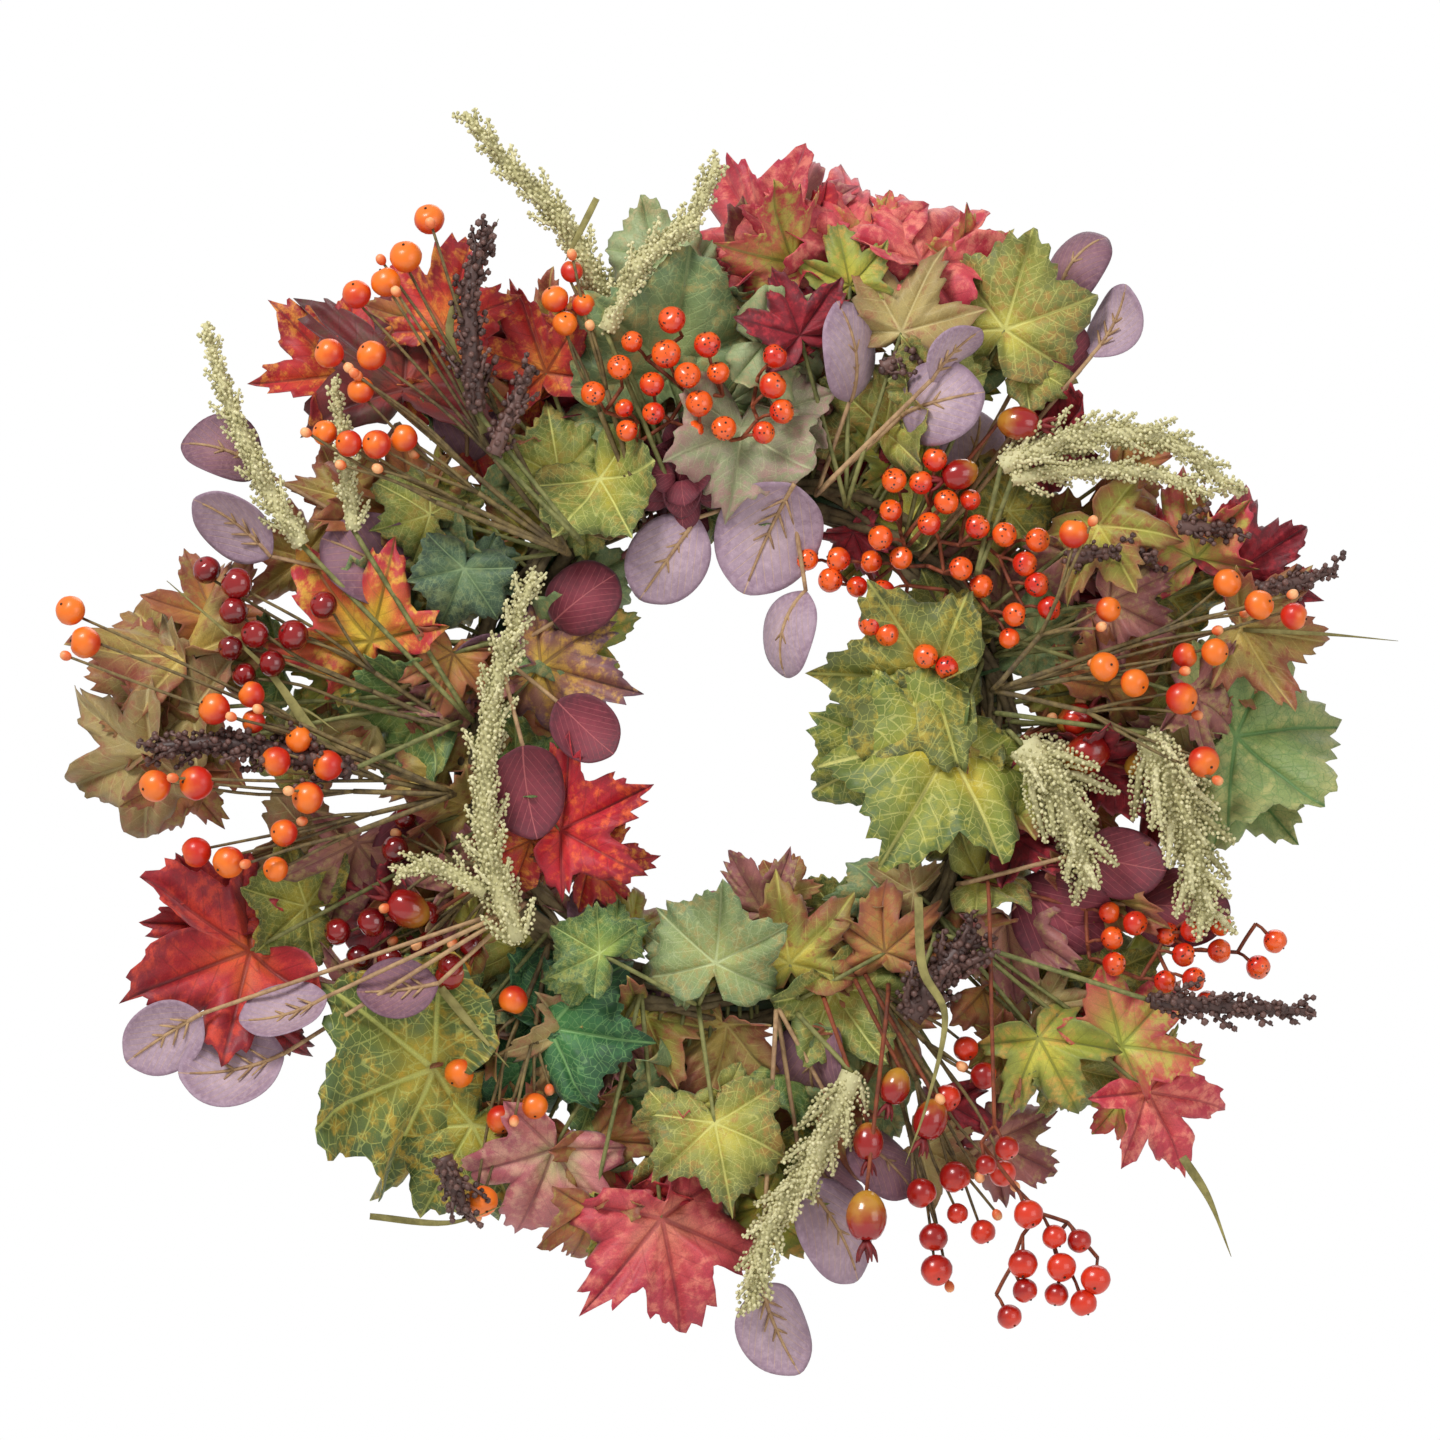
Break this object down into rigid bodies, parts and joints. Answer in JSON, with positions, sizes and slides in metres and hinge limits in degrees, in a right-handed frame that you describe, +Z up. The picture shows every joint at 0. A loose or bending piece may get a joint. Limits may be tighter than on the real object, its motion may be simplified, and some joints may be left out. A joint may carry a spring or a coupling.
{
  "type": "harvest door wreath",
  "caption": "Round autumn door wreath: a wound twig ring carrying wired sprays of silk leaves, berries, rose hips and seed heads.",
  "frame": {"origin": "where the door hook bears, on the underside of the twig ring at its top, midway through its depth", "axes": "+Z up, -Y the front that faces the room, +Y towards the door, +X to the viewer's right"},
  "size_m": [0.5826, 0.082, 0.5689],
  "materials": {
    "twig": "rough bark",
    "wire": "green florist's wire",
    "red": "printed silk leaf, red with orange and yellow veins",
    "pink": "printed silk leaf, dusty pink",
    "rust": "printed silk leaf, mottled brown and green",
    "olive": "printed silk leaf, yellow green",
    "leaf_green": "printed silk leaf, green with yellow veins",
    "sage": "printed silk leaf, pale green and pink",
    "lilac": "matt mauve leaf with moulded ribs",
    "burgundy": "matt burgundy leaf with pink ribs",
    "heather": "pale green beaded plume",
    "sorghum": "dark brown beaded seed head",
    "orange_berry": "waxy orange berry shaded to red",
    "speckled": "glossy orange-red berry with dark specks",
    "dark_berry": "glossy dark red berry",
    "red_berry": "glossy red berry",
    "rose_hip": "glossy red hip with a green-gold cheek"
  },
  "bodies": {
    "root": {"binding_tie_1": "wire", "burgundy_leaf_spray_left": "burgundy", "burgundy_leaf_spray_right": "burgundy", "core_hoop": "wire", "dark_berry_cluster_left": "dark_berry", "heather_spike_right": "heather", "heather_spike_top": "heather", "ivy_leaf_dark": "leaf_green", "ivy_leaf_far_right": "leaf_green", "ivy_leaf_hanging_top": "sage", "ivy_leaf_olive": "leaf_green", "ivy_spray_bottom": "leaf_green", "ivy_spray_crown_right": "leaf_green", "ivy_spray_inner_right": "leaf_green", "ivy_spray_left": "leaf_green", "ivy_spray_upper_left": "leaf_green", "maple_leaf_lower_left": "red", "maple_spray_bottom": "rust", "maple_spray_bottom_left": "pink", "maple_spray_crown": "olive", "maple_spray_far_left": "rust", "maple_spray_far_right": "red", "maple_spray_inner_left": "red", "maple_spray_left": "red", "maple_spray_lower_right": "pink", "maple_spray_right": "rust", "maple_spray_top": "red", "maple_spray_upper_left": "red", "orange_berry_spray_bottom": "orange_berry", "orange_berry_spray_top": "orange_berry", "rose_hip_spray_lower_left": "rose_hip", "rose_hip_spray_right": "rose_hip", "silver_leaf_spray_bottom": "lilac", "silver_leaf_spray_crown_right": "burgundy", "silver_leaf_spray_inner_top": "lilac", "silver_leaf_spray_left": "lilac", "silver_leaf_spray_lower_left": "lilac", "silver_leaf_spray_top": "lilac", "sorghum_spike_far_left": "sorghum", "sorghum_spike_right": "sorghum", "sorghum_spike_upper_left": "sorghum", "speckled_berry_spray_inner_right": "speckled", "speckled_berry_spray_low_right": "speckled", "speckled_berry_spray_right": "speckled", "speckled_berry_spray_top": "speckled", "vine_twig_1": "twig", "vine_twig_2": "twig", "vine_twig_3": "twig"},
    "heather_spike_top_left_body": {"heather_spike_top_left": "heather"},
    "heather_spike_far_left_body": {"heather_spike_far_left": "heather"},
    "heather_spike_right_top_body": {"heather_spike_right_top": "heather"},
    "heather_spike_low_right_body": {"heather_spike_low_right": "heather"},
    "heather_spike_bottom_body": {"heather_spike_bottom": "heather"},
    "heather_spike_inner_left_body": {"heather_spike_inner_left": "heather"},
    "orange_berry_spray_upper_left_body": {"orange_berry_spray_upper_left": "orange_berry"},
    "orange_berry_spray_left_body": {"orange_berry_spray_left": "orange_berry"},
    "orange_berry_spray_right_body": {"orange_berry_spray_right": "orange_berry"},
    "hanging_rose_hip_body": {"hanging_rose_hip": "rose_hip"},
    "hanging_berry_strand_long_body": {"hanging_berry_strand_long": "red_berry"},
    "hanging_berry_strand_short_body": {"hanging_berry_strand_short": "red_berry"}
  },
  "joints": [
    {"name": "heather_spike_top_left_swivel", "type": "hinge", "parent": "root", "child": "heather_spike_top_left_body", "pos_m": [-0.02474, -0.0309, 0.009], "axis": [0, 1, 0], "range_deg": [-10, 10]},
    {"name": "heather_spike_far_left_swivel", "type": "hinge", "parent": "root", "child": "heather_spike_far_left_body", "pos_m": [-0.11855, -0.0309, -0.09703], "axis": [0, 1, 0], "range_deg": [-10, 10]},
    {"name": "heather_spike_right_top_swivel", "type": "hinge", "parent": "root", "child": "heather_spike_right_top_body", "pos_m": [0.10735, -0.0264, -0.03769], "axis": [0, 1, 0], "range_deg": [-8, 8]},
    {"name": "heather_spike_low_right_swivel", "type": "hinge", "parent": "root", "child": "heather_spike_low_right_body", "pos_m": [0.11811, -0.0309, -0.0929], "axis": [0, 1, 0], "range_deg": [-8, 8]},
    {"name": "heather_spike_bottom_swivel", "type": "hinge", "parent": "root", "child": "heather_spike_bottom_body", "pos_m": [0.02789, -0.0234, -0.22822], "axis": [0, 1, 0], "range_deg": [-8, 8]},
    {"name": "heather_spike_inner_left_swivel", "type": "hinge", "parent": "root", "child": "heather_spike_inner_left_body", "pos_m": [-0.11497, -0.0339, -0.15385], "axis": [0, 1, 0], "range_deg": [-8, 8]},
    {"name": "orange_berry_spray_upper_left_swivel", "type": "hinge", "parent": "root", "child": "orange_berry_spray_upper_left_body", "pos_m": [-0.07479, -0.0549, -0.02136], "axis": [0, 1, 0], "range_deg": [-8, 8]},
    {"name": "orange_berry_spray_left_swivel", "type": "hinge", "parent": "root", "child": "orange_berry_spray_left_body", "pos_m": [-0.12606, -0.0429, -0.12963], "axis": [0, 1, 0], "range_deg": [-6, 6]},
    {"name": "orange_berry_spray_right_swivel", "type": "hinge", "parent": "root", "child": "orange_berry_spray_right_body", "pos_m": [0.1164, -0.0459, -0.08266], "axis": [0, 1, 0], "range_deg": [-6, 6]},
    {"name": "hanging_rose_hip_swivel", "type": "hinge", "parent": "root", "child": "hanging_rose_hip_body", "pos_m": [0.06971, -0.0339, -0.21475], "axis": [0, 1, 0], "range_deg": [-10, 10]},
    {"name": "hanging_berry_strand_long_swivel", "type": "hinge", "parent": "root", "child": "hanging_berry_strand_long_body", "pos_m": [0.064, -0.0204, -0.21825], "axis": [0, 1, 0], "range_deg": [-8, 8]},
    {"name": "hanging_berry_strand_short_swivel", "type": "hinge", "parent": "root", "child": "hanging_berry_strand_short_body", "pos_m": [0.11405, -0.0429, -0.16551], "axis": [0, 1, 0], "range_deg": [-8, 8]}
  ]
}
